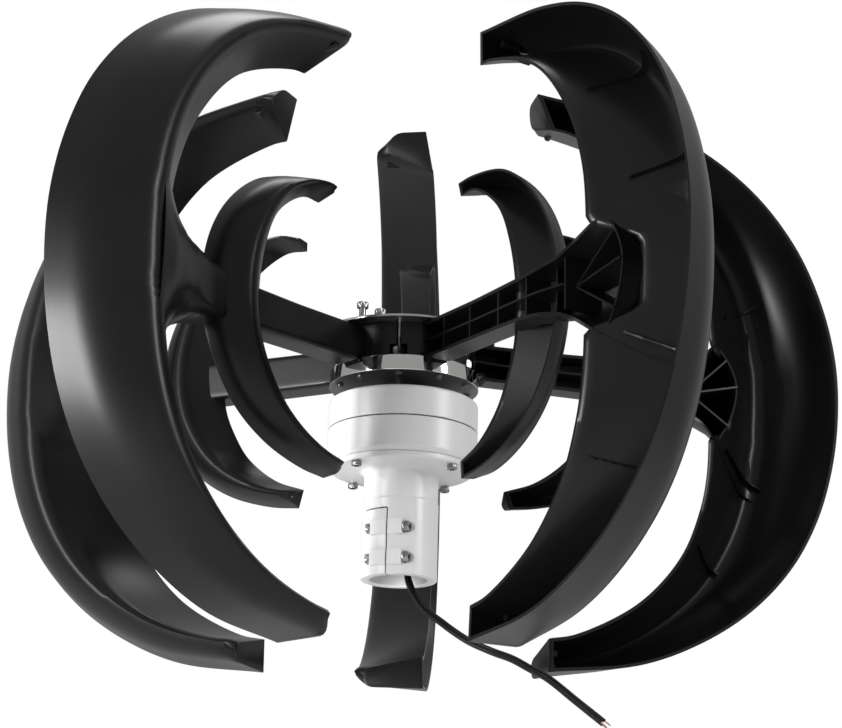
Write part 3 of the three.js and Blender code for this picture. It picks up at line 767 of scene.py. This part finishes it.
BIG_SHAPE = {
    "rim_y": (-4, -5, -13), "shoulder_in": (1, 17, 1), "shoulder_y": (27, 31, 40),
    "ridge_at": (0.5, 0.46, 0.6), "ridge_y": (50, 62, 54), "lip_y": (-11, -8, -12),
    "round": (16, 18, 22),
}
SMALL_SHAPE = {
    "rim_y": (-16, -7, -1), "shoulder_in": (1, 6, 2), "shoulder_y": (2, 8, 14),
    "ridge_at": (0.48, 0.48, 0.48), "ridge_y": (22, 27, 30), "lip_y": (-12, -4, 1),
    "round": (8, 12, 8),
}

# The arm's (reach, low, high, front, back) from the hub to under the ridge.
ARM = [
    (45, 182.3, 211.3, -19, 6), (66, 182.3, 211.3, -19, 6), (69, 178.5, 211, -19, 6),
    (140, 176.5, 210, -19, 6), (206, 174.5, 211, -19, 6), (232, 171, 212.5, -19, 12),
    (255, 166, 215, -17, 20), (272, 158, 224, -13, 27), (284, 148, 236, -6, 32),
    (300, 134, 250, 10, 40), (322, 118, 262, 33, 50), (342, 108, 270, 55, 57),
]


def arm_at(x):
    reach = [row[0] for row in ARM]
    return [float(np.interp(x, reach, [row[k] for row in ARM])) for k in range(1, 5)]


def skin_depth(surface, x, z):
    """Depth of the skin at a (reach, height) point."""
    away = (surface[:, 0] - x) ** 2 + (surface[:, 2] - z) ** 2
    near = np.argsort(away)[:6]
    weight = 1 / (away[near] + 0.5)
    return float((surface[near, 1] * weight).sum() / weight.sum())


def arm(mesh, surface):
    """Open trough that turns into the smooth knuckle behind the big scoop."""
    stops = [45, 56, 66, 67.5, 69, *np.linspace(80, 206, 10), *np.linspace(212, 342, 34)]
    loops = []
    for x in stops:
        low, high, front, back = arm_at(x)
        soft = ease(x, 228, 296)
        squareness = 14 - 12 * soft
        fullness = 0.12 + 1.0 * soft
        line = []
        for v in -np.cos(np.linspace(0, pi, 33)):
            z = (low + high) / 2 + (high - low) / 2 * v
            swell = max(1 - abs(v) ** squareness, 0) ** fullness
            edge = front
            if x > 284:
                edge = skin_depth(surface, x, z) - 3.2
            line.append((z, edge + max(back - edge, 0) * swell))
        loops.append([(x, y, z) for z, y in walled(line, WALL)])
    skin(mesh, loops)


def prism(mesh, corners):
    """Closed block from 8 corners: four round one end, then four round the other."""
    v = [mesh.verts.new(Vector(c) * MM) for c in corners]
    for a, b, c, d in ((0, 1, 2, 3), (7, 6, 5, 4), (0, 4, 5, 1), (1, 5, 6, 2), (2, 6, 7, 3), (3, 7, 4, 0)):
        mesh.faces.new((v[a], v[b], v[c], v[d]))


def rib(mesh, start, end, backs, fronts, thickness=2.4):
    """Rib between two (reach, height) points that thins a little towards its front."""
    (x0, z0), (x1, z1) = start, end
    length = np.hypot(x1 - x0, z1 - z0)
    nx, nz = (z1 - z0) / length * thickness / 2, -(x1 - x0) / length * thickness / 2
    corners = []
    for x, z, back, front in ((x0, z0, backs[0], fronts[0]), (x1, z1, backs[1], fronts[1])):
        corners += [(x + nx, back, z + nz), (x - nx, back, z - nz),
                    (x - nx * 0.7, front, z - nz * 0.7), (x + nx * 0.7, front, z + nz * 0.7)]
    prism(mesh, corners)


def following_rib(mesh, surface, start, end, proud):
    """Thin rib that stands on the hollow side and follows the skin."""
    points = [np.array(start) + (np.array(end) - start) * t for t in np.linspace(0, 1, 10)]
    depths = [skin_depth(surface, *p) for p in points]
    for p, q, y0, y1 in zip(points[:-1], points[1:], depths[:-1], depths[1:]):
        rib(mesh, p, q, (y0 - 1.5, y1 - 1.5), (y0 - WALL - proud, y1 - WALL - proud), 2.2)


def ribs(mesh, surface):
    spine = (50, *range(80, 261, 10))
    for start, end in zip(spine[:-1], spine[1:]):
        one, two = arm_at(start), arm_at(end)
        rib(mesh, (start, (one[0] + one[1]) / 2), (end + 0.5, (two[0] + two[1]) / 2),
            (one[3] - 1.5, two[3] - 1.5), (one[2] + 1, two[2] + 1))
    for x in (92, 132, 174, 214, 262):
        low, high, front, back = arm_at(x)
        margin = 1.5 if x < 250 else 7
        rib(mesh, (x, low + margin), (x, high - margin), (back - 3, back - 3), (front + 1, front + 1))
    for tip, back in (((301, 226), 28), ((311, 202), 40), ((302, 164), 29)):
        rib(mesh, (262, 190), tip, (19, back), (-4, 2))
    arc = smooth_path([(292, 0, 240), (303, 0, 226), (311, 0, 203), (305, 0, 173), (292, 0, 150)], 17)
    for one, two in zip(arc[:-1], arc[1:]):
        backs = [max(arm_at(p[0])[3] - 4 - 26 * (abs(p[2] - 192) / 48) ** 2, 8) for p in (one, two)]
        rib(mesh, one[[0, 2]], two[[0, 2]], backs, (4, 4))
    for start, end in (((298, 386), (262, 360)), ((350, 297), (306, 272)),
                       ((348, 119), (304, 145)), ((306, 37), (272, 52))):
        following_rib(mesh, surface, start, end, 7)


def boss(mesh, x, z, front, back, radius=3.3):
    bmesh.ops.create_cone(
        mesh, cap_ends=True, segments=24, radius1=radius * MM, radius2=radius * 0.9 * MM,
        depth=(back - front) * MM,
        matrix=Matrix.Translation(Vector((x, (front + back) / 2, z)) * MM) @ Matrix.Rotation(pi / 2, 4, "X"),
    )


ROOT_START = 12
ROOT_REACH = 62
ROOT_HALF_ANGLE = radians(34.5)
NOTCH_TOP = 192


def root_wedge(mesh, bottom, top, notch):
    """Wedge between the disc and the plate, with a round notch for the stud at each side."""
    side = []
    for turn in np.linspace(0, 2 * pi, 73):
        x = OUTER_CIRCLE * cos(PITCH / 2) + notch * cos(turn)
        y = OUTER_CIRCLE * sin(PITCH / 2) + notch * sin(turn)
        if np.hypot(x, y) < ROOT_REACH and np.arctan2(y, x) < ROOT_HALF_ANGLE:
            side.append((np.hypot(x, y), np.arctan2(y, x)))
    side.sort()
    top_angle = side[-1][1]
    half = [(ROOT_START, ROOT_HALF_ANGLE), *side, *[(ROOT_REACH, a) for a in np.linspace(top_angle, 0, 8)]]
    outline = half + [(r, -a) for r, a in half[-2::-1]]
    rows = [[mesh.verts.new(Vector((r * cos(a), r * sin(a), z)) * MM) for r, a in outline]
            for z in (bottom, top)]
    n = len(outline)
    for j in range(n):
        k = (j + 1) % n
        mesh.faces.new((rows[0][j], rows[0][k], rows[1][k], rows[1][j]))
    mesh.faces.new(rows[0][::-1])
    mesh.faces.new(rows[1])


blade_mesh = bmesh.new()
big_skin = scoop(blade_mesh, BIG_RIM, BIG_LIP, BIG_SHAPE, 110, has_arm_gap=True)
scoop(blade_mesh, SMALL_RIM, SMALL_LIP, SMALL_SHAPE, 70)
arm(blade_mesh, big_skin)
ribs(blade_mesh, big_skin)
for x, z, depth in ((131, 452, 27), (139, 438, 34), (142, -61, 34), (143, -50, 30)):
    boss(blade_mesh, x, z, depth - 16, depth)
root_wedge(blade_mesh, DISC_HIGH + CLEARANCE, NOTCH_TOP, 8.5)
root_wedge(blade_mesh, NOTCH_TOP, PLATE_LOW - CLEARANCE, 3.4)
bmesh.ops.recalc_face_normals(blade_mesh, faces=blade_mesh.faces)
black_nylon = finish_of("black_nylon", (0.004, 0.004, 0.0043), 0.3, grain=700, bump=0.05, drift=0.15,
                        specular=0.25)
for number in range(1, BLADES + 1):
    turned_blade = blade_mesh.copy()
    turned_blade.transform(Matrix.Rotation(FIRST_BLADE + PITCH * (number - 1), 4, "Z"))
    piece_of(f"nylon_blade_{number}", turned_blade, black_nylon, "rotor",
             [f"blade_{number}"], 38)
blade_mesh.free()
